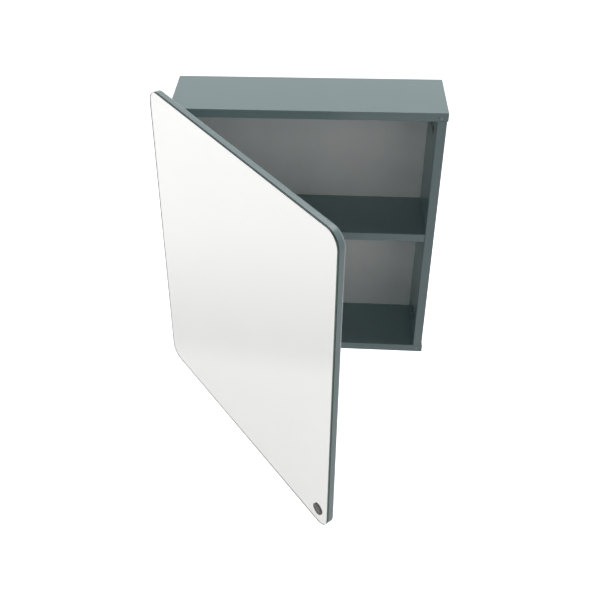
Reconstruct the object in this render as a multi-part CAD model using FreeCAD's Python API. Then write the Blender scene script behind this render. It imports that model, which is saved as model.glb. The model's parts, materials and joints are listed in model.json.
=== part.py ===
import FreeCAD, Part
import os

# A wall-hung bathroom cabinet with one large mirror door, in millimetres.
# +X is right, +Y goes into the wall and +Z is up. The origin is the middle of the carcass's rear face.

# Carcass
CARCASS_WIDTH = 545.0           # over the top and bottom boards
CARCASS_HEIGHT = 620.0
CARCASS_DEPTH = 147.0
BOARD = 19.0                    # thickness of the lacquered boards
CAP_OVERHANG = 2.0              # top and bottom boards stand out past the sides
EDGE_ROUND = 1.5                # rounded edges of the boards
SHELF_HEIGHT = 332.5            # shelf's upper face above the carcass's underside
SHELF_SIDE_CLEARANCE = 0.3
SHELF_BACK_CLEARANCE = 0.5

# Back panel and the rail that the wall screws go through
BACK_THICKNESS = 3.5
REBATE_WIDTH = 9.5              # how far the back panel's seat runs into each board
BACK_CLEARANCE = 0.5
BACK_SCREW_PITCH_X = 200.0
BACK_SCREW_PITCH_Z = 300.0
BACK_SCREW_LENGTH = 16.0
BACK_SCREW_RADIUS = 1.5
BACK_SCREW_HEAD_RADIUS = 3.0
RAIL_HEIGHT = 60.0
RAIL_THICKNESS = 16.0
RAIL_CLEARANCE = 0.2
WALL_HOLE_SPACING = 400.0
WALL_HOLE_RADIUS = 3.25

# Knock-down fittings between the sides and the top and bottom boards
FITTING_CLEARANCE = 0.1
CAM_SETBACK = 50.0              # front cams from the front edge
CAM_PITCH = 32.0                # front cams to rear cams
CAM_RADIUS = 7.5
CAM_RIM_RADIUS = 8.75
CAM_RIM = 0.5                   # rim's thickness on the side's inner face
CAM_RIM_ROUND = 0.3
CAM_FLOOR = 0.8                 # metal of the cam behind the bolt's way in
CAM_FROM_END = 43.0             # cam's middle from the end of the side
CAM_CROSS_LENGTH = 8.0
CAM_CROSS_WIDTH = 1.4
CAM_CROSS_DEPTH = 2.0
BOLT_RADIUS = 3.0
BOLT_HEAD_RADIUS = 3.6
BOLT_HEAD_LENGTH = 4.0
BOLT_BITE = 11.0                # threaded end in the top or bottom board
BOLT_HOLE_RADIUS = 4.0
DOWEL_RADIUS = 4.0
DOWEL_LENGTH = 30.0
DOWEL_CHAMFER = 1.0
DOWEL_SETBACK = 33.0            # dowels from the rear edge
DOWEL_BITE = 12.0               # in the top or bottom board
RAIL_DOWEL_BITE = 10.0          # in the side
RAIL_DOWEL_PITCH = 30.0
PIN_RADIUS = 2.5                # shelf pins
PIN_LENGTH = 16.0
PIN_BITE = 8.0
PIN_SETBACK = 37.0              # from the front and rear edges

# Clear pads that the closed door meets
BUMPER_RADIUS = 4.0
BUMPER_FROM_END = 15.0          # pad's middle from the board's end
BUMPER_FROM_FACE = 11.5         # and from its outer face
BUMPER_CLEARANCE = 0.1

# Door
DOOR_WIDTH = 605.0
DOOR_HEIGHT = 700.0
DOOR_CORNER_RADIUS = 30.0
DOOR_SHIFT = 1.5                # door's middle, left of the carcass's middle
DOOR_PANEL_THICKNESS = 13.0
DOOR_PANEL_SHORTFALL = 2.0      # panel stops short of the glass at the bottom
DOOR_BACK_ROUND = 3.0
DOOR_GAP = 2.0                  # closed door to the carcass's front
OPEN_ANGLE = 52.2               # how far the door stands open
TAPE_THICKNESS = 0.6
TAPE_WIDTH = 25.0
TAPE_STRIPS = 5
TAPE_MARGIN = 12.0
TAPE_END_MARGIN = 45.0
MIRROR_THICKNESS = 3.0
MIRROR_INSET = 0.5
MIRROR_ARRIS = 0.5
DISC_RADIUS = 12.5
DISC_THICKNESS = 1.2
DISC_RIM_ROUND = 0.5
DISC_FROM_EDGE = 30.0
DISC_FROM_BOTTOM = 35.0

# Cranked knuckle hinges, outside the left side and behind the door
HINGE_FROM_END = 51.0           # hinge's middle from the end of the side
HINGE_HEIGHT = 60.0
HINGE_AXIS_OUT = 9.0            # pin's axis from the side's outer face
HINGE_PIN_RADIUS = 1.6
HINGE_PIN_CLEARANCE = 0.05
HINGE_PIN_HEAD_RADIUS = 2.6
HINGE_PIN_HEAD_HEIGHT = 1.4
HINGE_PIN_HEAD_ROUND = 0.9
LEAF_THICKNESS = 1.6
LEAF_CORNER_RADIUS = 4.0
LEAF_BEND_RADIUS = 0.8
SIDE_LEAF_LENGTH = 30.0
DOOR_LEAF_LENGTH = 36.0
KNUCKLES = 5
KNUCKLE_GAP = 0.3
KNUCKLE_CLEARANCE = 0.4         # barrel to the notches and to the door's back
HINGE_SCREW_RADIUS = 1.5
HINGE_SCREW_HEAD_RADIUS = 2.9
HINGE_SCREW_NEAR = 13.0         # screws from the pin's axis
HINGE_SCREW_FAR = 25.0
HINGE_SCREW_PITCH = 20.0
SCREW_SKIN = 2.5                # board left in front of a screw's tip

# Cross slot in the head of every screw
SCREW_CROSS_LENGTH = 3.0
SCREW_CROSS_WIDTH = 0.8
SCREW_CROSS_DEPTH = 1.0

# Places worked out from the sizes above
HALF_WIDTH = CARCASS_WIDTH / 2
TOP = CARCASS_HEIGHT / 2
BOTTOM = -TOP
FRONT = -CARCASS_DEPTH
INNER_TOP = TOP - BOARD
INNER_BOTTOM = BOTTOM + BOARD
SIDE_OUTER = HALF_WIDTH - CAP_OVERHANG
SIDE_INNER = SIDE_OUTER - BOARD
SIDE_MIDDLE = SIDE_INNER + BOARD / 2
SHELF_TOP = BOTTOM + SHELF_HEIGHT
SHELF_UNDERSIDE = SHELF_TOP - BOARD
BACK_FRONT = -BACK_THICKNESS
RAIL_FRONT = BACK_FRONT - RAIL_THICKNESS
RAIL_MIDDLE_Z = INNER_TOP - RAIL_HEIGHT / 2
CAM_ROWS = (FRONT + CAM_SETBACK, FRONT + CAM_SETBACK + CAM_PITCH)
DOWEL_ROW = -DOWEL_SETBACK
PIN_ROWS = (FRONT + PIN_SETBACK, -PIN_SETBACK)
CAM_Z = INNER_TOP - CAM_FROM_END
CAM_DEPTH = BOARD / 2 + BOLT_HOLE_RADIUS + CAM_FLOOR
DOOR_MIDDLE = -DOOR_SHIFT
DOOR_BACK = FRONT - DOOR_GAP
TAPE_BACK = DOOR_BACK - DOOR_PANEL_THICKNESS
MIRROR_BACK = TAPE_BACK - TAPE_THICKNESS
MIRROR_FRONT = MIRROR_BACK - MIRROR_THICKNESS
BORE_RADIUS = HINGE_PIN_RADIUS + HINGE_PIN_CLEARANCE
BARREL_RADIUS = BORE_RADIUS + LEAF_THICKNESS
AXIS_X = -SIDE_OUTER - HINGE_AXIS_OUT
AXIS_Y = DOOR_BACK + BARREL_RADIUS + KNUCKLE_CLEARANCE
HINGE_HEIGHTS = {"upper": INNER_TOP - HINGE_FROM_END, "lower": INNER_BOTTOM + HINGE_FROM_END}
TOLERANCE = 1e-6

X_AXIS = FreeCAD.Vector(1, 0, 0)
Y_AXIS = FreeCAD.Vector(0, 1, 0)
Z_AXIS = FreeCAD.Vector(0, 0, 1)
ORIGIN = FreeCAD.Vector(0, 0, 0)


def block(x_span, y_span, z_span):
    """Box between two ends on each axis."""
    size = [max(span) - min(span) for span in (x_span, y_span, z_span)]
    return Part.makeBox(*size, FreeCAD.Vector(min(x_span), min(y_span), min(z_span)))


def rod(radius, length, x, y, z, direction):
    """Cylinder from a point along a direction."""
    return Part.makeCylinder(radius, length, FreeCAD.Vector(x, y, z), direction)


def lies_on(edge, axis, value):
    """Whether a straight edge lies in the plane where an axis has a value."""
    return all(abs(getattr(vertex.Point, axis) - value) < TOLERANCE for vertex in edge.Vertexes)


def edges_in(solid, *planes):
    """Edges that lie in every one of the given planes."""
    return [edge for edge in solid.Edges if all(lies_on(edge, *plane) for plane in planes)]


def rounded_slab(width, z_span, corner, y_back, thickness):
    """Upright slab with round corners, across the door's middle, from its back face forwards."""
    x_span = (DOOR_MIDDLE - width / 2, DOOR_MIDDLE + width / 2)
    slab = block(x_span, (y_back - thickness, y_back), z_span)
    corners = []
    for x in x_span:
        for z in z_span:
            corners += edges_in(slab, ("x", x), ("z", z))
    return slab.makeFillet(corner, corners)


def mirrored(solid, normal):
    """The same piece on the other side of the middle."""
    return solid.mirror(ORIGIN, normal)


def cross_slot(face, direction, length, width, depth):
    """Two crossed slots, sunk along a direction from a point on a face."""
    slots = []
    for across, along in ((length, width), (width, length)):
        slot = Part.makeBox(across, along, depth, FreeCAD.Vector(-across / 2, -along / 2, 0))
        slot.Placement = FreeCAD.Placement(face, FreeCAD.Rotation(Z_AXIS, direction))
        slots.append(slot)
    return slots


def screw(head, direction, length, radius, head_radius, clearance=0.0):
    """Countersunk screw whose head is flush at a point; a clearance makes the hole for it."""
    taper = head_radius - radius
    cone = Part.makeCone(head_radius + clearance, radius + clearance, taper, head, direction)
    blank = cone.fuse(Part.makeCylinder(radius + clearance, length + clearance, head, direction))
    if clearance:
        return blank
    return blank.cut(cross_slot(head, direction, SCREW_CROSS_LENGTH, SCREW_CROSS_WIDTH, SCREW_CROSS_DEPTH))


def save(solids, name):
    """Write a node: one solid, or several identical fasteners."""
    shape = solids[0] if len(solids) == 1 else Part.makeCompound(solids)
    shape.exportStep("parts/" + name + ".step")


def swing(solid):
    """Turn a piece of the closed door to its open rest place."""
    solid.rotate(FreeCAD.Vector(AXIS_X, AXIS_Y, 0), Z_AXIS, -OPEN_ANGLE)
    return solid


# Screws through the back panel


def back_screw_heads():
    """Heads of the screws round the back panel's edge, on its rear face."""
    seat_x = SIDE_INNER + REBATE_WIDTH / 2
    seat_z = INNER_TOP + REBATE_WIDTH / 2
    rows = [(step * BACK_SCREW_PITCH_X, side * seat_z) for side in (1, -1) for step in (-1, 0, 1)]
    columns = [(side * seat_x, step * BACK_SCREW_PITCH_Z / 2) for side in (1, -1) for step in (-1, 1)]
    return [FreeCAD.Vector(x, 0, z) for x, z in rows + columns]


def back_screws(clearance=0.0):
    """Screws of the back panel, or the holes for them."""
    sizes = (BACK_SCREW_LENGTH, BACK_SCREW_RADIUS, BACK_SCREW_HEAD_RADIUS)
    return [screw(head, -Y_AXIS, *sizes, clearance) for head in back_screw_heads()]


# Fittings in the upper right joint, mirrored to the other three


def four_corners(solid):
    """A fitting of the upper right joint, repeated at every corner of the carcass."""
    right = [solid, mirrored(solid, Z_AXIS)]
    return right + [mirrored(piece, X_AXIS) for piece in right]


def cam_lock(y):
    """Rimmed cam housing in the side's inner face, with a cross slot and a way in for the bolt."""
    rim_face = SIDE_INNER - CAM_RIM
    rim = rod(CAM_RIM_RADIUS, CAM_RIM, rim_face, y, CAM_Z, X_AXIS)
    rim = rim.makeFillet(CAM_RIM_ROUND, edges_in(rim, ("x", rim_face)))
    housing = rim.fuse(rod(CAM_RADIUS, CAM_DEPTH, SIDE_INNER, y, CAM_Z, X_AXIS))
    way_in = rod(BOLT_HOLE_RADIUS, CAM_RADIUS, SIDE_MIDDLE, y, CAM_Z, Z_AXIS)
    pocket = rod(BOLT_HOLE_RADIUS, BOLT_HOLE_RADIUS, SIDE_MIDDLE, y, CAM_Z - BOLT_HOLE_RADIUS, Z_AXIS)
    face = FreeCAD.Vector(rim_face, y, CAM_Z)
    slots = cross_slot(face, X_AXIS, CAM_CROSS_LENGTH, CAM_CROSS_WIDTH, CAM_CROSS_DEPTH)
    return housing.cut(slots).cut(way_in.fuse(pocket))


def cam_bolt(y):
    """Bolt from the top board down into the cam."""
    shank = rod(BOLT_RADIUS, INNER_TOP + BOLT_BITE - CAM_Z, SIDE_MIDDLE, y, CAM_Z, Z_AXIS)
    head = rod(BOLT_HEAD_RADIUS, BOLT_HEAD_LENGTH, SIDE_MIDDLE, y, CAM_Z - BOLT_HEAD_LENGTH / 2, Z_AXIS)
    return shank.fuse(head).removeSplitter()


def dowel(end, direction, clearance):
    """Dowel with chamfered ends, from a point along a direction; a clearance makes the hole for it."""
    start = end - direction * clearance
    blank = Part.makeCylinder(DOWEL_RADIUS + clearance, DOWEL_LENGTH + 2 * clearance, start, direction)
    if clearance:
        return blank
    rims = [edge for edge in blank.Edges if edge.isClosed()]
    return blank.makeChamfer(DOWEL_CHAMFER, rims)


def side_dowel(clearance=0.0):
    """Dowel between the side and the top board, or the hole for it."""
    foot = FreeCAD.Vector(SIDE_MIDDLE, DOWEL_ROW, INNER_TOP + DOWEL_BITE - DOWEL_LENGTH)
    return dowel(foot, Z_AXIS, clearance)


def rail_dowels(clearance=0.0):
    """Two dowels between the right side and the hanging rail, or the holes for them."""
    x = SIDE_INNER + RAIL_DOWEL_BITE
    y = RAIL_FRONT + RAIL_THICKNESS / 2
    heights = (RAIL_MIDDLE_Z - RAIL_DOWEL_PITCH / 2, RAIL_MIDDLE_Z + RAIL_DOWEL_PITCH / 2)
    return [dowel(FreeCAD.Vector(x, y, z), -X_AXIS, clearance) for z in heights]


def shelf_pins(clearance=0.0):
    """Two pins under the shelf's right end, or the holes for them."""
    start = SIDE_INNER + PIN_BITE + clearance
    z = SHELF_UNDERSIDE - PIN_RADIUS
    return [rod(PIN_RADIUS + clearance, PIN_LENGTH, start, y, z, -X_AXIS) for y in PIN_ROWS]


def both_sides(solids):
    """Pieces at the right side and their mirror images at the left."""
    return solids + [mirrored(solid, X_AXIS) for solid in solids]


# Carcass boards


def top_panel():
    """Top board, full width, with a stopped seat for the back panel."""
    board = block((-HALF_WIDTH, HALF_WIDTH), (FRONT, 0), (INNER_TOP, TOP))
    shown = [edge for edge in board.Edges if not lies_on(edge, "y", 0)]
    board = board.makeFillet(EDGE_ROUND, shown)
    seat_x = SIDE_INNER + REBATE_WIDTH
    board = board.cut(block((-seat_x, seat_x), (BACK_FRONT, 0), (INNER_TOP, INNER_TOP + REBATE_WIDTH)))
    hole_radius = BOLT_RADIUS + FITTING_CLEARANCE
    hole_depth = BOLT_BITE + FITTING_CLEARANCE
    holes = [rod(hole_radius, hole_depth, SIDE_MIDDLE, y, INNER_TOP, Z_AXIS) for y in CAM_ROWS]
    holes = both_sides(holes + [side_dowel(FITTING_CLEARANCE)])
    return board.cut(holes + back_screws(FITTING_CLEARANCE))


def right_side_panel():
    """Right side between the top and bottom boards, drilled for every fitting."""
    board = block((SIDE_INNER, SIDE_OUTER), (FRONT, 0), (INNER_BOTTOM, INNER_TOP))
    inner_edge = edges_in(board, ("y", FRONT), ("x", SIDE_INNER))
    outer_edge = edges_in(board, ("y", FRONT), ("x", SIDE_OUTER))
    board = board.makeFillet(EDGE_ROUND, inner_edge + outer_edge)
    board = board.cut(block((SIDE_INNER, SIDE_INNER + REBATE_WIDTH), (BACK_FRONT, 0), (BOTTOM, TOP)))
    holes = [side_dowel(FITTING_CLEARANCE)]
    for y in CAM_ROWS:
        seat_radius = CAM_RADIUS + FITTING_CLEARANCE
        holes.append(rod(seat_radius, CAM_DEPTH + FITTING_CLEARANCE, SIDE_INNER, y, CAM_Z, X_AXIS))
        holes.append(rod(BOLT_HOLE_RADIUS, CAM_FROM_END, SIDE_MIDDLE, y, CAM_Z, Z_AXIS))
    holes += [mirrored(hole, Z_AXIS) for hole in holes]
    holes += rail_dowels(FITTING_CLEARANCE) + shelf_pins(FITTING_CLEARANCE)
    return board.cut(holes + back_screws(FITTING_CLEARANCE))


def shelf():
    """Shelf between the sides, flush with the front."""
    half = SIDE_INNER - SHELF_SIDE_CLEARANCE
    rear = BACK_FRONT - SHELF_BACK_CLEARANCE
    board = block((-half, half), (FRONT, rear), (SHELF_UNDERSIDE, SHELF_TOP))
    upper_edge = edges_in(board, ("y", FRONT), ("z", SHELF_TOP))
    lower_edge = edges_in(board, ("y", FRONT), ("z", SHELF_UNDERSIDE))
    return board.makeFillet(EDGE_ROUND, upper_edge + lower_edge)


def wall_holes():
    """The two holes for the wall screws, through the rail and the back panel."""
    places = (-WALL_HOLE_SPACING / 2, WALL_HOLE_SPACING / 2)
    return [rod(WALL_HOLE_RADIUS, -RAIL_FRONT, x, RAIL_FRONT, RAIL_MIDDLE_Z, Y_AXIS) for x in places]


def back_panel():
    """Thin back, seated in the boards and flush with their rear edges."""
    half_x = SIDE_INNER + REBATE_WIDTH - BACK_CLEARANCE
    half_z = INNER_TOP + REBATE_WIDTH - BACK_CLEARANCE
    sheet = block((-half_x, half_x), (BACK_FRONT, 0), (-half_z, half_z))
    return sheet.cut(wall_holes() + back_screws(FITTING_CLEARANCE))


def hanging_rail():
    """Rail under the top board that takes the wall screws."""
    half = SIDE_INNER - RAIL_CLEARANCE
    bar = block((-half, half), (RAIL_FRONT, BACK_FRONT), (INNER_TOP - RAIL_HEIGHT, INNER_TOP))
    lower_edge = edges_in(bar, ("y", RAIL_FRONT), ("z", INNER_TOP - RAIL_HEIGHT))
    bar = bar.makeFillet(EDGE_ROUND, lower_edge)
    return bar.cut(wall_holes() + both_sides(rail_dowels(FITTING_CLEARANCE)))


def bumper(z):
    """Low clear dome on a board's front edge, near the right end."""
    height = DOOR_GAP - BUMPER_CLEARANCE
    sphere_radius = (BUMPER_RADIUS ** 2 + height ** 2) / (2 * height)
    x = HALF_WIDTH - BUMPER_FROM_END
    ball = Part.makeSphere(sphere_radius, FreeCAD.Vector(x, FRONT - height + sphere_radius, z))
    reach = BUMPER_RADIUS * 2
    return ball.common(block((x - reach, x + reach), (FRONT - reach, FRONT), (z - reach, z + reach)))


# Door


def door_panel():
    """Lacquered panel behind the mirror, with a rounded back edge."""
    z_span = (DOOR_PANEL_SHORTFALL - DOOR_HEIGHT / 2, DOOR_HEIGHT / 2)
    slab = rounded_slab(DOOR_WIDTH, z_span, DOOR_CORNER_RADIUS, DOOR_BACK, DOOR_PANEL_THICKNESS)
    return slab.makeFillet(DOOR_BACK_ROUND, edges_in(slab, ("y", DOOR_BACK)))


def mirror_tape():
    """Upright strips of foam tape between the panel and the glass."""
    reach = DOOR_WIDTH / 2 - TAPE_MARGIN - TAPE_WIDTH / 2
    half = DOOR_HEIGHT / 2 - TAPE_END_MARGIN
    strips = []
    for index in range(TAPE_STRIPS):
        x = DOOR_MIDDLE - reach + 2 * reach * index / (TAPE_STRIPS - 1)
        across = (x - TAPE_WIDTH / 2, x + TAPE_WIDTH / 2)
        strips.append(block(across, (MIRROR_BACK, TAPE_BACK), (-half, half)))
    return strips


def mirror_glass():
    """Mirror over the door's whole front, with ground edges."""
    width = DOOR_WIDTH - 2 * MIRROR_INSET
    z_span = (MIRROR_INSET - DOOR_HEIGHT / 2, DOOR_HEIGHT / 2 - MIRROR_INSET)
    glass = rounded_slab(width, z_span, DOOR_CORNER_RADIUS - MIRROR_INSET, MIRROR_BACK, MIRROR_THICKNESS)
    rims = edges_in(glass, ("y", MIRROR_FRONT)) + edges_in(glass, ("y", MIRROR_BACK))
    return glass.makeChamfer(MIRROR_ARRIS, rims)


def corner_disc():
    """Plain metal disc on the glass, in the lower corner of the free edge."""
    x = DOOR_MIDDLE + DOOR_WIDTH / 2 - DISC_FROM_EDGE
    z = DISC_FROM_BOTTOM - DOOR_HEIGHT / 2
    disc = rod(DISC_RADIUS, DISC_THICKNESS, x, MIRROR_FRONT, z, -Y_AXIS)
    return disc.makeFillet(DISC_RIM_ROUND, edges_in(disc, ("y", MIRROR_FRONT - DISC_THICKNESS)))


# Hinges


def knuckle_span(z_middle, index):
    """Lower and upper end of one knuckle of the barrel."""
    pitch = (HINGE_HEIGHT + KNUCKLE_GAP) / KNUCKLES
    low = z_middle - HINGE_HEIGHT / 2 + index * pitch
    return low, low + pitch - KNUCKLE_GAP


def with_barrel(plate, z_middle, first):
    """Roll every second knuckle onto a leaf, and notch the leaf for the others."""
    low = z_middle - HINGE_HEIGHT / 2
    leaf = plate.fuse(rod(BARREL_RADIUS, HINGE_HEIGHT, AXIS_X, AXIS_Y, low, Z_AXIS)).removeSplitter()
    leaf = leaf.cut(rod(BORE_RADIUS, HINGE_HEIGHT, AXIS_X, AXIS_Y, low, Z_AXIS))
    for index in range(1 - first, KNUCKLES, 2):
        notch_low, notch_high = knuckle_span(z_middle, index)
        length = notch_high - notch_low + 2 * KNUCKLE_GAP
        radius = BARREL_RADIUS + KNUCKLE_CLEARANCE
        leaf = leaf.cut(rod(radius, length, AXIS_X, AXIS_Y, notch_low - KNUCKLE_GAP, Z_AXIS))
    return leaf


def leaf_screw_places(z_middle):
    """Distance from the pin's axis and height of each screw of a leaf."""
    above = z_middle + HINGE_SCREW_PITCH
    below = z_middle - HINGE_SCREW_PITCH
    return ((HINGE_SCREW_NEAR, below), (HINGE_SCREW_FAR, z_middle), (HINGE_SCREW_NEAR, above))


def side_leaf_screws(z_middle, clearance=0.0):
    """Screws of a side leaf, or the holes for them."""
    face = -SIDE_OUTER - LEAF_THICKNESS
    length = LEAF_THICKNESS + BOARD - SCREW_SKIN * 2
    heads = [FreeCAD.Vector(face, AXIS_Y + out, z) for out, z in leaf_screw_places(z_middle)]
    sizes = (length, HINGE_SCREW_RADIUS, HINGE_SCREW_HEAD_RADIUS)
    return [screw(head, X_AXIS, *sizes, clearance) for head in heads]


def door_leaf_screws(z_middle, clearance=0.0):
    """Screws of a door leaf, or the holes for them, with the door closed."""
    face = DOOR_BACK + LEAF_THICKNESS
    length = LEAF_THICKNESS + DOOR_PANEL_THICKNESS - SCREW_SKIN
    heads = [FreeCAD.Vector(AXIS_X + out, face, z) for out, z in leaf_screw_places(z_middle)]
    sizes = (length, HINGE_SCREW_RADIUS, HINGE_SCREW_HEAD_RADIUS)
    return [screw(head, -Y_AXIS, *sizes, clearance) for head in heads]


def side_leaf(z_middle):
    """Cranked leaf: from the barrel in to the side, then back along its outer face."""
    web_front = AXIS_Y + BORE_RADIUS
    web_back = AXIS_Y + BARREL_RADIUS
    flange_face = -SIDE_OUTER - LEAF_THICKNESS
    flange_end = AXIS_Y + SIDE_LEAF_LENGTH
    low = z_middle - HINGE_HEIGHT / 2
    high = z_middle + HINGE_HEIGHT / 2
    outline = (
        (AXIS_X, web_front),
        (-SIDE_OUTER, web_front),
        (-SIDE_OUTER, flange_end),
        (flange_face, flange_end),
        (flange_face, web_back),
        (AXIS_X, web_back),
        (AXIS_X, web_front),
    )
    wire = Part.makePolygon([FreeCAD.Vector(x, y, low) for x, y in outline])
    plate = Part.Face(wire).extrude(Z_AXIS * HINGE_HEIGHT)
    outer_bend = edges_in(plate, ("x", -SIDE_OUTER), ("y", web_front))
    plate = plate.makeFillet(LEAF_BEND_RADIUS + LEAF_THICKNESS, outer_bend)
    inner_bend = edges_in(plate, ("x", flange_face), ("y", web_back))
    plate = plate.makeFillet(LEAF_BEND_RADIUS, inner_bend)
    corners = edges_in(plate, ("y", flange_end), ("z", low))
    corners += edges_in(plate, ("y", flange_end), ("z", high))
    plate = plate.makeFillet(LEAF_CORNER_RADIUS, corners)
    return with_barrel(plate, z_middle, 0).cut(side_leaf_screws(z_middle, FITTING_CLEARANCE))


def door_leaf(z_middle):
    """Flat leaf on the door's back, with the door closed."""
    low = z_middle - HINGE_HEIGHT / 2
    high = z_middle + HINGE_HEIGHT / 2
    tip = AXIS_X + DOOR_LEAF_LENGTH
    plate = block((AXIS_X, tip), (DOOR_BACK, DOOR_BACK + LEAF_THICKNESS), (low, high))
    corners = edges_in(plate, ("x", tip), ("z", low)) + edges_in(plate, ("x", tip), ("z", high))
    plate = plate.makeFillet(LEAF_CORNER_RADIUS, corners)
    return with_barrel(plate, z_middle, 1).cut(door_leaf_screws(z_middle, FITTING_CLEARANCE))


def hinge_pin(z_middle):
    """Pin through the barrel, with a button head at each end."""
    low = z_middle - HINGE_HEIGHT / 2
    high = z_middle + HINGE_HEIGHT / 2
    pin = rod(HINGE_PIN_RADIUS, HINGE_HEIGHT, AXIS_X, AXIS_Y, low, Z_AXIS)
    for z, direction in ((high, Z_AXIS), (low, -Z_AXIS)):
        head = rod(HINGE_PIN_HEAD_RADIUS, HINGE_PIN_HEAD_HEIGHT, AXIS_X, AXIS_Y, z, direction)
        crown = z + direction.z * HINGE_PIN_HEAD_HEIGHT
        head = head.makeFillet(HINGE_PIN_HEAD_ROUND, edges_in(head, ("z", crown)))
        pin = pin.fuse(head)
    return pin.removeSplitter()


os.makedirs("parts", exist_ok=True)

upper_board = top_panel()
right_side = right_side_panel()
left_side = mirrored(right_side, X_AXIS)
door_slab = door_panel()
side_screws = []
door_screws = []
for place, hinge_z in HINGE_HEIGHTS.items():
    left_side = left_side.cut(side_leaf_screws(hinge_z, FITTING_CLEARANCE))
    door_slab = door_slab.cut(door_leaf_screws(hinge_z, FITTING_CLEARANCE))
    side_screws += side_leaf_screws(hinge_z)
    door_screws += door_leaf_screws(hinge_z)
    save([side_leaf(hinge_z)], place + "_hinge_side_leaf")
    save([swing(door_leaf(hinge_z))], place + "_hinge_door_leaf")
    save([hinge_pin(hinge_z)], place + "_hinge_pin")

save([upper_board], "top_panel")
save([mirrored(upper_board, Z_AXIS)], "bottom_panel")
save([right_side], "right_side_panel")
save([left_side], "left_side_panel")
save([shelf()], "shelf")
save([back_panel()], "back_panel")
save([hanging_rail()], "hanging_rail")
save([piece for y in CAM_ROWS for piece in four_corners(cam_lock(y))], "cam_locks")
save([piece for y in CAM_ROWS for piece in four_corners(cam_bolt(y))], "cam_bolts")
save(four_corners(side_dowel()) + both_sides(rail_dowels()), "wood_dowels")
save(both_sides(shelf_pins()), "shelf_pins")
save(back_screws(), "back_panel_screws")
save([bumper(TOP - BUMPER_FROM_FACE)], "upper_bumper")
save([bumper(BOTTOM + BUMPER_FROM_FACE)], "lower_bumper")
save(side_screws, "hinge_side_screws")
save([swing(door_slab)], "door_panel")
save([swing(strip) for strip in mirror_tape()], "mirror_tape")
save([swing(mirror_glass())], "mirror_glass")
save([swing(corner_disc())], "corner_disc")
save([swing(piece) for piece in door_screws], "hinge_door_screws")
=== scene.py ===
import json
import math

import bmesh
import bpy
from mathutils import Matrix, Vector

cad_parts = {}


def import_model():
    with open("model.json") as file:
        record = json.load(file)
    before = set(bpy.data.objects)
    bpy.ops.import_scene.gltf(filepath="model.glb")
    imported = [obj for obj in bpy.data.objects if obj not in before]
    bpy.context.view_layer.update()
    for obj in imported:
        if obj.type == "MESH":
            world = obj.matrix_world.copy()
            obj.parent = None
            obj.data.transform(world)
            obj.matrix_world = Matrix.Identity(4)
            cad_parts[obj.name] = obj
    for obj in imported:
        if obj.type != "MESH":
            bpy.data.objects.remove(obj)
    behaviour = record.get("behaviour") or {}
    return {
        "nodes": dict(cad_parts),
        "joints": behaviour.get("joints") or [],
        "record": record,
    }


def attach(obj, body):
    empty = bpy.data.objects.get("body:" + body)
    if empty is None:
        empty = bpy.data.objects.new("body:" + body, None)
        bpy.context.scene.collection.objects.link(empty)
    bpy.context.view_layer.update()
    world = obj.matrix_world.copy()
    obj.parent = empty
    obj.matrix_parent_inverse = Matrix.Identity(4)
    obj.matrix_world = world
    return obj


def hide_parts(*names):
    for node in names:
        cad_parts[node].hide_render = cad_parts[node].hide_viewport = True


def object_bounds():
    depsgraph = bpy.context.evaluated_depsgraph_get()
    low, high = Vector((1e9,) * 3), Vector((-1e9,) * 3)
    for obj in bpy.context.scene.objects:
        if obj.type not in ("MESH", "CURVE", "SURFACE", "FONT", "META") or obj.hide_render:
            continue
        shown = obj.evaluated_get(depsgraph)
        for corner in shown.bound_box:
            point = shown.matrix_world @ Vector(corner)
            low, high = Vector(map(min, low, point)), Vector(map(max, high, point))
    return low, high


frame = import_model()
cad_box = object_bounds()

# Camera, fitted to the photograph's straight edges: metres, degrees and pixels of a square image
IMAGE_SIDE = 600
CAMERA_PLACE = Vector((0.0387, -1.6730, 1.1121))
CAMERA_YAW = 5.810
CAMERA_PITCH = 34.619
CAMERA_ROLL = -1.675
FOCAL_PIXELS = 880.1
IMAGE_CENTRE = (250.4, 217.9)
SENSOR_MM = 36.0

# Floor: how far it lies below the cabinet, half its side, and its colour
HANGING_HEIGHT = 1.25
FLOOR_HALF = 14.0
FLOOR_COLOUR = (0.86, 0.86, 0.855, 1)

# Glow of the floor in reflections, painted light and shade: grey near the cabinet as painted shade,
# pale at a distance
FLOOR_NEAR = 0.34
FLOOR_FAR = 0.9
FLOOR_MIDDLE = (-0.3, 0.38, 0.0)
FLOOR_REACH = 3.46

# Soft band of shade in that glow: its depth, the direction across it, and where it deepens and ends
SHADE_DEPTH = 0.106
SHADE_ACROSS = (1.0, -0.12, 0.0)
SHADE_DEEPENS = (-2.67, -1.45)
SHADE_ENDS = (-1.72, -1.49)

# White part of that glow, a painted light behind the cabinet and to its right that the door's rounded
# back edge reflects: the direction to it, and where it starts
WHITE_ACROSS = (0.6, 0.8, 0.0)
WHITE_STARTS = (0.0, 0.5)

# Light: level of the world, and each lamp's name, place, target, size in metres and power in watts
WORLD_LEVEL = 0.002
LAMPS = (
    ("key_lamp", (0.3, 1.5, 3.6), (0.0, -0.2, 0.0), 3.0, 102.0),
    ("front_lamp", (-0.6, -3.0, 1.5), (0.0, -0.2, 0.0), 2.4, 13.6),
    ("side_lamp", (3.0, 0.2, 0.8), (0.0, -0.2, 0.0), 2.4, 28.5),
    ("right_lamp", (1.7, -2.4, 0.1), (0.0, -0.2, 0.0), 2.0, 8.2),
    ("back_lamp", (-2.2, 2.6, 1.2), (0.0, 0.0, 0.0), 2.0, 30.0),
)

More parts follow.
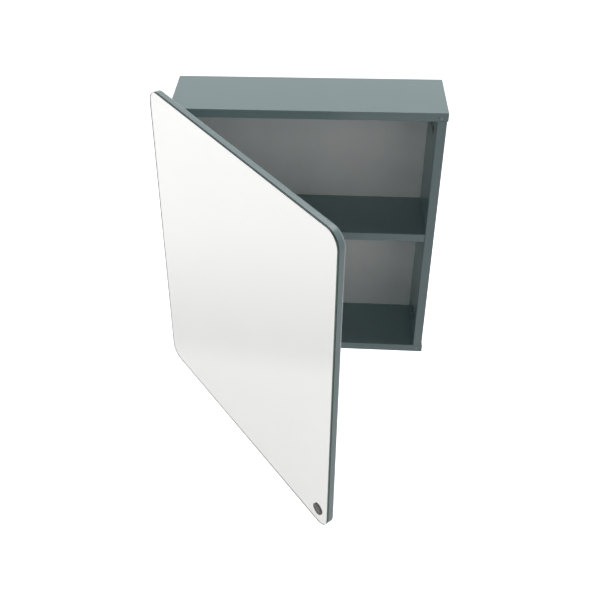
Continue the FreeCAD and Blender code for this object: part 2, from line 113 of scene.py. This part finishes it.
# Colours, linear
WHITE = (1, 1, 1, 1)
LACQUER = (0.248, 0.332, 0.345, 1)
LACQUER_LIGHT = (0.255, 0.340, 0.353, 1)
BACK_FOIL = (0.91, 0.88, 0.86, 1)
BACK_FOIL_SHADE = (0.87, 0.84, 0.82, 1)
SILVER = (0.886, 0.884, 0.880, 1)
GLASS = (1.0, 1.0, 0.998, 1)
GLASS_CLOUD = (0.99, 0.99, 0.986, 1)
GLASS_EDGE = (0.108, 0.208, 0.152, 1)
# Painted shade for the glass edge where it faces up or down
GLASS_EDGE_PAINTED_SHADE = (0.016, 0.036, 0.032, 1)
GLASS_ARRIS = (0.50, 0.65, 0.57, 1)
GROUND_EDGE = (0.22, 0.225, 0.22, 1)
TAPE = (0.05, 0.055, 0.055, 1)
NICKEL = (0.62, 0.61, 0.59, 1)
ZINC_PLATE = (0.58, 0.58, 0.57, 1)
CAM_ZINC = (0.045, 0.045, 0.048, 1)
DISC_METAL = (0.170, 0.158, 0.152, 1)
DISC_GROOVE = (0.040, 0.037, 0.036, 1)
BEECH = (0.55, 0.36, 0.20, 1)
BEECH_DARK = (0.42, 0.26, 0.13, 1)
CLEAR_PAD = (0.46, 0.57, 0.59, 1)

# Usual range of noise, and variation within a material as factors on its colour or roughness
NOISE_LOW = 0.3
NOISE_HIGH = 0.7
FOAM_LIGHT = 1.15
METAL_WORN = 0.9
METAL_SMOOTHEST = 0.9
METAL_ROUGHEST = 1.15

# Sockets of the node that mixes colours
MIX_FIRST = 6
MIX_SECOND = 7
MIX_RESULT = 2

# Shape of the door's pieces: steps to a round corner, metres and degrees
CORNER_STEPS = 24
SHARP_ANGLE = 20
MIRROR_CORNER = 0.0295
ARRIS = 0.0005
RIM = 0.00012
RIM_GAP = 0.00003
SILVER_GAP = 0.00005
PANEL_CORNER = 0.030
ROUND_LEAD = 0.0003
SOFT_ROUND = 0.0048
TIGHT_ROUND = 0.0008
SOFT_TURN = 50
ROUND_STEP = 5

# Disc: its profile from the rim to the middle, as radius and height in millimetres
DISC_STEPS = 72
DISC_PROFILE_MM = (
    (12.5, 0.02),
    (12.5, 0.75),
    (12.38, 1.0),
    (12.1, 1.14),
    (11.8, 1.2),
    (11.0, 1.2),
    (10.8, 1.12),
    (10.55, 0.62),
    (10.25, 0.55),
    (9.95, 0.62),
    (9.7, 0.98),
    (9.4, 1.04),
    (7.2, 0.94),
    (4.6, 0.86),
    (2.0, 0.82),
)
MM_PER_METRE = 1000

# Turn of the door from closed to where it rests
SWING = frame["joints"][0]
OPEN_ANGLE = -math.radians(SWING["range_deg"][0])
HINGE_POINT = Vector(SWING["pos_m"])
OPEN_DOOR = (
    Matrix.Translation(HINGE_POINT)
    @ Matrix.Rotation(OPEN_ANGLE, 4, Vector(SWING["axis"]))
    @ Matrix.Translation(-HINGE_POINT)
)


# Materials


class Shader:
    """A material's node tree, with short calls to add and join nodes.

    Further keywords set the surface's sockets, with _ for each space in their names.
    """

    def __init__(self, name, colour, roughness, **sockets):
        self.material = bpy.data.materials.new(name)
        self.material.use_nodes = True
        self.material.diffuse_color = colour
        self.tree = self.material.node_tree
        self.surface = self.tree.nodes["Principled BSDF"]
        self.surface.inputs["Base Color"].default_value = colour
        self.surface.inputs["Roughness"].default_value = roughness
        for socket, value in sockets.items():
            self.surface.inputs[socket.replace("_", " ")].default_value = value
        self.place = self.tree.nodes.new("ShaderNodeTexCoord").outputs["Object"]

    def join(self, output, socket):
        """Link an output to a socket."""
        self.tree.links.new(output, socket)

    def stretched(self, scale):
        """Object coordinates stretched by a scale on each axis."""
        mapping = self.tree.nodes.new("ShaderNodeMapping")
        mapping.inputs["Scale"].default_value = scale
        self.join(self.place, mapping.inputs["Vector"])
        return mapping.outputs["Vector"]

    def noise(self, scale, detail, vector=None):
        """Noise of a given number of features to a metre."""
        texture = self.tree.nodes.new("ShaderNodeTexNoise")
        texture.inputs["Scale"].default_value = scale
        texture.inputs["Detail"].default_value = detail
        self.join(vector or self.place, texture.inputs["Vector"])
        return texture.outputs["Fac"]

    def measure(self, operation, vector):
        """Number from the object coordinates and a vector, such as a distance."""
        node = self.tree.nodes.new("ShaderNodeVectorMath")
        node.operation = operation
        node.inputs[1].default_value = vector
        self.join(self.place, node.inputs[0])
        return node.outputs["Value"]

    def calculate(self, operation, *values):
        """Result of an operation on one or two outputs."""
        node = self.tree.nodes.new("ShaderNodeMath")
        node.operation = operation
        for value, socket in zip(values, node.inputs):
            self.join(value, socket)
        return node.outputs[0]

    def spread(self, value, low, high, start=NOISE_LOW, end=NOISE_HIGH, ease="LINEAR"):
        """A value mapped from a range, by default the usual one of noise, to low and high."""
        mapped = self.tree.nodes.new("ShaderNodeMapRange")
        mapped.interpolation_type = ease
        mapped.inputs["From Min"].default_value = start
        mapped.inputs["From Max"].default_value = end
        mapped.inputs["To Min"].default_value = low
        mapped.inputs["To Max"].default_value = high
        self.join(value, mapped.inputs["Value"])
        return mapped.outputs["Result"]

    def colour(self, factor, first, second):
        """Let the base colour go from one colour to another with a factor."""
        blend = self.tree.nodes.new("ShaderNodeMix")
        blend.data_type = "RGBA"
        blend.inputs[MIX_FIRST].default_value = first
        blend.inputs[MIX_SECOND].default_value = second
        self.join(factor, blend.inputs["Factor"])
        self.join(blend.outputs[MIX_RESULT], self.surface.inputs["Base Color"])

    def mottle(self, pattern, first, second):
        """Let the base colour wander between two colours with a noise."""
        self.colour(self.spread(pattern, low=0.0, high=1.0), first, second)

    def roughness(self, pattern, low, high):
        """Let the roughness wander between two values with a noise."""
        self.join(self.spread(pattern, low, high), self.surface.inputs["Roughness"])

    def bump(self, pattern, strength, depth):
        """Add relief of a given depth in metres on top of what is there."""
        relief = self.tree.nodes.new("ShaderNodeBump")
        relief.inputs["Strength"].default_value = strength
        relief.inputs["Distance"].default_value = depth
        self.join(pattern, relief.inputs["Height"])
        normal = self.surface.inputs["Normal"]
        if normal.is_linked:
            self.join(normal.links[0].from_socket, relief.inputs["Normal"])
        self.join(relief.outputs["Normal"], normal)


def toned(colour, factor):
    """A colour made lighter or darker by a factor."""
    return tuple(channel * factor for channel in colour[:3]) + (1,)


def lacquer():
    """Sprayed satin lacquer: faint clouding, and the fine skin of a sprayed coat."""
    shader = Shader("grey_green_lacquer", LACQUER, roughness=0.22, Specular_IOR_Level=0.4)
    shader.mottle(shader.noise(scale=9.0, detail=4.0), LACQUER, LACQUER_LIGHT)
    shader.roughness(shader.noise(scale=60.0, detail=3.0), low=0.20, high=0.25)
    shader.bump(shader.noise(scale=420.0, detail=2.0), strength=0.008, depth=0.0004)
    shader.bump(shader.noise(scale=2600.0, detail=1.0), strength=0.03, depth=0.0001)
    return shader.material


def back_foil():
    """White foil with a faint paper-like grain."""
    shader = Shader("white_back_foil", BACK_FOIL, roughness=0.55, Specular_IOR_Level=0.3)
    shader.mottle(shader.noise(scale=14.0, detail=5.0), BACK_FOIL_SHADE, BACK_FOIL)
    shader.bump(shader.noise(scale=900.0, detail=3.0), strength=0.12, depth=0.0002)
    return shader.material


def silvering():
    """Silver coat behind the mirror's glass, with a trace of haze."""
    shader = Shader("mirror_silver", SILVER, roughness=0.012, Metallic=1.0)
    shader.roughness(shader.noise(scale=7.0, detail=4.0), low=0.006, high=0.016)
    return shader.material


def clear_glass():
    """Clear glass in front of the silver, very faintly clouded."""
    shader = Shader("mirror_glass", GLASS, roughness=0.0, IOR=1.52, Transmission_Weight=1.0)
    shader.mottle(shader.noise(scale=5.0, detail=3.0), GLASS, GLASS_CLOUD)
    return shader.material


def ground_arris():
    """Narrow ground facet round the mirror's front."""
    shader = Shader("glass_arris", GLASS_ARRIS, roughness=0.5, Specular_IOR_Level=0.35)
    shader.roughness(shader.noise(scale=300.0, detail=3.0), low=0.4, high=0.6)
    shader.bump(shader.noise(scale=1500.0, detail=2.0), strength=0.04, depth=0.0001)
    return shader.material


def glass_edge():
    """Edge of the green glass, with painted shade making it darker where it faces up or down the sheet.
    """
    shader = Shader("glass_edge", GLASS_EDGE, roughness=0.3, Specular_IOR_Level=0.35)
    facing = shader.tree.nodes.new("ShaderNodeSeparateXYZ")
    geometry = shader.tree.nodes.new("ShaderNodeNewGeometry")
    shader.join(geometry.outputs["Normal"], facing.inputs["Vector"])
    # Painted shade: the edge darkens as its normal turns up or down
    steep = shader.calculate("ABSOLUTE", facing.outputs["Z"])
    painted_shade = shader.spread(steep, low=0.0, high=1.0, start=0.1, end=0.9)
    shader.colour(painted_shade, GLASS_EDGE, GLASS_EDGE_PAINTED_SHADE)
    shader.roughness(shader.noise(scale=120.0, detail=3.0), low=0.24, high=0.36)
    shader.bump(shader.noise(scale=1500.0, detail=2.0), strength=0.04, depth=0.0001)
    return shader.material


def foam():
    """Dark mounting foam with a fine grain."""
    shader = Shader("foam_tape", TAPE, roughness=0.8, Specular_IOR_Level=0.3)
    grain = shader.noise(scale=900.0, detail=3.0)
    shader.mottle(grain, TAPE, toned(TAPE, FOAM_LIGHT))
    shader.bump(grain, strength=0.15, depth=0.0002)
    return shader.material


def metal(name, colour, roughness, brush):
    """Plated or brushed metal, its fine scratches stretched by brush on each axis."""
    shader = Shader(name, colour, roughness, Metallic=1.0)
    scratches = shader.noise(scale=1.0, detail=4.0, vector=shader.stretched(brush))
    shader.mottle(scratches, toned(colour, METAL_WORN), colour)
    shader.roughness(scratches, roughness * METAL_SMOOTHEST, roughness * METAL_ROUGHEST)
    shader.bump(scratches, strength=0.04, depth=0.0001)
    return shader.material


def beech():
    """Dowel wood with long grain."""
    shader = Shader("beech", BEECH, roughness=0.6, Specular_IOR_Level=0.3)
    grain = shader.noise(scale=1.0, detail=4.0, vector=shader.stretched((900.0, 900.0, 60.0)))
    shader.mottle(grain, BEECH_DARK, BEECH)
    shader.bump(grain, strength=0.2, depth=0.0002)
    return shader.material


def clear_pad():
    """Soft, slightly milky bumper."""
    shader = Shader("clear_pad", CLEAR_PAD, roughness=0.22, IOR=1.45, Transmission_Weight=0.3)
    shader.roughness(shader.noise(scale=300.0, detail=2.0), low=0.18, high=0.28)
    return shader.material


def turned_metal():
    """Dark metal turned on a lathe: fine rings about the piece's own axis."""
    shader = Shader("dark_turned_metal", DISC_METAL, roughness=0.30, Metallic=1.0)
    rings = shader.tree.nodes.new("ShaderNodeTexWave")
    rings.wave_type = "RINGS"
    rings.rings_direction = "Y"
    rings.inputs["Scale"].default_value = 420.0
    rings.inputs["Distortion"].default_value = 1.5
    rings.inputs["Detail"].default_value = 3.0
    rings.inputs["Detail Scale"].default_value = 2.0
    shader.join(shader.place, rings.inputs["Vector"])
    tarnish = shader.noise(scale=260.0, detail=4.0)
    shader.mottle(tarnish, DISC_GROOVE, DISC_METAL)
    shader.roughness(tarnish, low=0.42, high=0.24)
    shader.bump(rings.outputs["Fac"], strength=0.25, depth=0.0001)
    return shader.material


MATERIALS = {
    "lacquered_board": lacquer(),
    "back_sheet": back_foil(),
    "zinc": metal("cam_zinc", CAM_ZINC, roughness=0.45, brush=(500.0, 500.0, 500.0)),
    "steel": metal("zinc_plate", ZINC_PLATE, roughness=0.34, brush=(700.0, 700.0, 700.0)),
    "hinge_steel": metal("nickel", NICKEL, roughness=0.27, brush=(2600.0, 2600.0, 200.0)),
    "beech": beech(),
    "clear_pad": clear_pad(),
    "foam_tape": foam(),
    "mirror": silvering(),
    "disc_metal": turned_metal(),
}
CLEAR_GLASS = clear_glass()
GLASS_SIDE = glass_edge()
ARRIS_FACET = ground_arris()
GROUND_SIDE = metal("ground_glass_edge", GROUND_EDGE, roughness=0.4, brush=(300.0, 300.0, 300.0))


def dress_nodes():
    """Give every node of the frame its slot's material."""
    for part in frame["record"]["subparts"]:
        node = frame["nodes"][part["node"]]
        node.data.materials.clear()
        node.data.materials.append(MATERIALS[part["material_slot"]])


# Helpers: the door's pieces are built with the door closed, then turned to where it rests


def linked_object(name, data):
    """New object in the scene."""
    thing = bpy.data.objects.new(name, data)
    bpy.context.scene.collection.objects.link(thing)
    return thing


def closed_box(node):
    """Lowest and highest corner of a door node with the door closed."""
    close_door = OPEN_DOOR.inverted()
    points = [close_door @ vertex.co for vertex in frame["nodes"][node].data.vertices]
    low = Vector([min(point[axis] for point in points) for axis in range(3)])
    high = Vector([max(point[axis] for point in points) for axis in range(3)])
    return low, high


def rounded_outline(low, high, corner, inset):
    """Points round an outline with round corners, moved in by an inset, in X and Z."""
    points = []
    radius = corner - inset
    for side_x, side_z, start in ((1, 1, 0), (-1, 1, 90), (-1, -1, 180), (1, -1, 270)):
        centre_x = (high.x if side_x > 0 else low.x) - side_x * corner
        centre_z = (high.z if side_z > 0 else low.z) - side_z * corner
        for step in range(CORNER_STEPS + 1):
            angle = math.radians(start + 90 * step / CORNER_STEPS)
            points.append((centre_x + radius * math.cos(angle), centre_z + radius * math.sin(angle)))
    return points


def plate_rings(build, low, high, corner, levels):
    """Rings of vertices round a plate with round corners, one for each depth and inset."""
    rings = []
    for y, inset in levels:
        outline = rounded_outline(low, high, corner, inset)
        rings.append([build.verts.new((x, y, z)) for x, z in outline])
    return rings


def band(build, back, front, slot):
    """Faces between two rings, their normals outward."""
    count = len(back)
    for index in range(count):
        after = (index + 1) % count
        face = build.faces.new((back[index], back[after], front[after], front[index]))
        face.material_index = slot
        face.smooth = True


def caps(build, front, back, front_slot, back_slot):
    """Faces that close a front and a back ring."""
    build.faces.new(front).material_index = front_slot
    build.faces.new(list(reversed(back))).material_index = back_slot


def mesh_piece(build, name, materials):
    """Piece on the door from a built mesh, with sharp edges kept sharp."""
    build.normal_update()
    for edge in build.edges:
        edge.smooth = edge.calc_face_angle() < math.radians(SHARP_ANGLE)
    mesh = bpy.data.meshes.new(name)
    build.to_mesh(mesh)
    build.free()
    for material in materials:
        mesh.materials.append(material)
    piece = linked_object(name, mesh)
    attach(piece, "door")
    return piece


# Door panel


def back_round(y_back):
    """Depths and insets of the panel's back edge: a short lead, a soft turn and a tight one."""
    soft = math.sin(math.radians(SOFT_TURN))
    y = y_back - SOFT_ROUND * soft - TIGHT_ROUND * (1 - soft)
    inset = 0.0
    levels = [(y - ROUND_LEAD, inset), (y, inset)]
    for degrees in range(0, 90, ROUND_STEP):
        start = math.radians(degrees)
        end = math.radians(degrees + ROUND_STEP)
        radius = SOFT_ROUND if degrees < SOFT_TURN else TIGHT_ROUND
        y += radius * (math.sin(end) - math.sin(start))
        inset += radius * (math.cos(start) - math.cos(end))
        levels.append((y, inset))
    return levels


def door_slab():
    """Lacquered panel behind the mirror, with a softly rounded back edge."""
    low, high = closed_box("door_panel")
    levels = [(low.y, 0.0)] + back_round(high.y)
    build = bmesh.new()
    rings = plate_rings(build, low, high, PANEL_CORNER, levels)
    for front, back in zip(rings, rings[1:]):
        band(build, back, front, slot=0)
    caps(build, rings[0], rings[-1], front_slot=0, back_slot=0)
    build.transform(OPEN_DOOR)
    slab = mesh_piece(build, "door_slab", (MATERIALS["lacquered_board"],))
    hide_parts("door_panel")


# Mirror


def mirror_plate():
    """Mirror: clear glass with a ground edge, silvered on its back face."""
    low, high = closed_box("mirror_glass")
    inset = RIM + RIM_GAP
    levels = (
        (low.y, ARRIS),
        (low.y + ARRIS - inset, inset),
        (high.y - ARRIS + inset, inset),
        (high.y - SILVER_GAP, ARRIS),
    )
    materials = (CLEAR_GLASS, ARRIS_FACET, GROUND_SIDE, MATERIALS["mirror"])
    clear, facet, side, silvered = range(len(materials))
    build = bmesh.new()
    rings = plate_rings(build, low, high, MIRROR_CORNER, levels)
    for front, back, slot in zip(rings, rings[1:], (facet, side, side)):
        band(build, back, front, slot)
    caps(build, rings[0], rings[-1], front_slot=clear, back_slot=silvered)
    build.transform(OPEN_DOOR)
    plate = mesh_piece(build, "mirror_plate", materials)
    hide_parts("mirror_glass")


def mirror_rim():
    """Thin green skin round the mirror's ground edge."""
    low, high = closed_box("mirror_glass")
    levels = (
        (low.y + ARRIS - RIM, RIM),
        (low.y + ARRIS, 0.0),
        (high.y - ARRIS, 0.0),
        (high.y - ARRIS + RIM, RIM),
    )
    build = bmesh.new()
    rings = plate_rings(build, low, high, MIRROR_CORNER, levels)
    for front, back in zip(rings, rings[1:] + rings[:1]):
        band(build, back, front, slot=0)
    build.transform(OPEN_DOOR)
    rim = mesh_piece(build, "mirror_rim", (GLASS_SIDE,))


# Disc


def disc():
    """Turned disc with a raised rim, a groove and a shallow dish, about its own axis."""
    low, high = closed_box("corner_disc")
    build = bmesh.new()
    rings = []
    for radius, height in DISC_PROFILE_MM:
        ring = []
        for step in range(DISC_STEPS):
            angle = 2 * math.pi * step / DISC_STEPS
            point = Vector((radius * math.cos(angle), -height, radius * math.sin(angle)))
            ring.append(build.verts.new(point / MM_PER_METRE))
        rings.append(ring)
    for outer, inner in zip(rings, rings[1:]):
        band(build, outer, inner, slot=0)
    caps(build, rings[-1], rings[0], front_slot=0, back_slot=0)
    piece = mesh_piece(build, "turned_disc", (MATERIALS["disc_metal"],))
    middle = Vector(((low.x + high.x) / 2, high.y, (low.z + high.z) / 2))
    piece.matrix_world = OPEN_DOOR @ Matrix.Translation(middle)
    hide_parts("corner_disc")


# Stage, lamps and camera


def area_lamp(name, place, target, size, watts):
    """Soft square lamp at a place, facing a target."""
    data = bpy.data.lights.new(name, "AREA")
    data.size = size
    data.energy = watts
    lamp = linked_object(name, data)
    lamp.location = place
    lamp.rotation_euler = (Vector(target) - Vector(place)).to_track_quat("-Z", "Y").to_euler()


def seen_directly(tree):
    """One for what the camera sees directly, in a mirror or through glass, else nothing."""
    rays = tree.nodes.new("ShaderNodeLightPath")
    total = rays.outputs["Is Camera Ray"]
    for kind in ("Is Glossy Ray", "Is Transmission Ray"):
        either = tree.nodes.new("ShaderNodeMath")
        either.operation = "MAXIMUM"
        tree.links.new(total, either.inputs[0])
        tree.links.new(rays.outputs[kind], either.inputs[1])
        total = either.outputs[0]
    return total


def floor_material():
    """Pale floor with its shadow: white to the camera, and in reflections a painted glow from grey to
    white.
    """
    shader = Shader("pale_floor", FLOOR_COLOUR, roughness=0.9, Specular_IOR_Level=0.0)
    # Painted shade near the cabinet and painted light behind it, seen only in reflections
    away = shader.measure("DISTANCE", FLOOR_MIDDLE)
    glow = shader.spread(away, FLOOR_NEAR, FLOOR_FAR, 0.0, FLOOR_REACH)
    across = shader.measure("DOT_PRODUCT", SHADE_ACROSS)
    deepening = shader.spread(across, 0.0, SHADE_DEPTH, *SHADE_DEEPENS, "SMOOTHSTEP")
    ending = shader.spread(across, 1.0, 0.0, *SHADE_ENDS, "SMOOTHSTEP")
    shaded = shader.calculate("SUBTRACT", glow, shader.calculate("MULTIPLY", deepening, ending))
    behind = shader.spread(shader.measure("DOT_PRODUCT", WHITE_ACROSS), 0.0, 1.0, *WHITE_STARTS)
    mirrored = shader.calculate("MAXIMUM", shaded, behind)
    rays = shader.tree.nodes.new("ShaderNodeLightPath")
    level = shader.calculate("MAXIMUM", rays.outputs["Is Camera Ray"], mirrored)
    lift = shader.calculate("MULTIPLY", seen_directly(shader.tree), level)
    shader.surface.inputs["Emission Color"].default_value = WHITE
    shader.join(lift, shader.surface.inputs["Emission Strength"])
    return shader.material


def floor():
    """Plain floor below the hanging cabinet."""
    mesh = bpy.data.meshes.new("floor")
    corners = [(x * FLOOR_HALF, y * FLOOR_HALF, 0) for x, y in ((-1, -1), (1, -1), (1, 1), (-1, 1))]
    mesh.from_pydata(corners, [], [(0, 1, 2, 3)])
    mesh.materials.append(floor_material())
    plane = linked_object("floor", mesh)
    plane.location.z = cad_box[0][2] - HANGING_HEIGHT


def world():
    """Faint light from all round, which shows white to the camera and in the mirror."""
    sky = bpy.data.worlds.new("studio")
    sky.use_nodes = True
    tree = sky.node_tree
    background = tree.nodes["Background"]
    background.inputs["Color"].default_value = WHITE
    level = tree.nodes.new("ShaderNodeMapRange")
    level.inputs["To Min"].default_value = WORLD_LEVEL
    level.inputs["To Max"].default_value = 1.0
    tree.links.new(seen_directly(tree), level.inputs["Value"])
    tree.links.new(level.outputs["Result"], background.inputs["Strength"])
    bpy.context.scene.world = sky


def camera():
    """Camera at the photograph's place, with its framing."""
    yaw = math.radians(CAMERA_YAW)
    pitch = math.radians(CAMERA_PITCH)
    roll = math.radians(CAMERA_ROLL)
    back = Vector((math.sin(yaw) * math.cos(pitch), -math.cos(yaw) * math.cos(pitch), math.sin(pitch)))
    level_right = Vector((0, 0, 1)).cross(back).normalized()
    level_up = back.cross(level_right)
    right = math.cos(roll) * level_right + math.sin(roll) * level_up
    up = -math.sin(roll) * level_right + math.cos(roll) * level_up
    data = bpy.data.cameras.new("photograph")
    data.sensor_width = SENSOR_MM
    data.lens = SENSOR_MM * FOCAL_PIXELS / IMAGE_SIDE
    data.shift_x = (IMAGE_SIDE / 2 - IMAGE_CENTRE[0]) / IMAGE_SIDE
    data.shift_y = (IMAGE_CENTRE[1] - IMAGE_SIDE / 2) / IMAGE_SIDE
    eye = linked_object("photograph", data)
    rotation = Matrix((right, up, back)).transposed().to_4x4()
    eye.matrix_world = Matrix.Translation(CAMERA_PLACE) @ rotation
    bpy.context.scene.camera = eye


dress_nodes()
door_slab()
mirror_plate()
mirror_rim()
disc()
floor()
world()
for lamp in LAMPS:
    area_lamp(*lamp)
camera()
bpy.context.scene.view_settings.view_transform = "Standard"
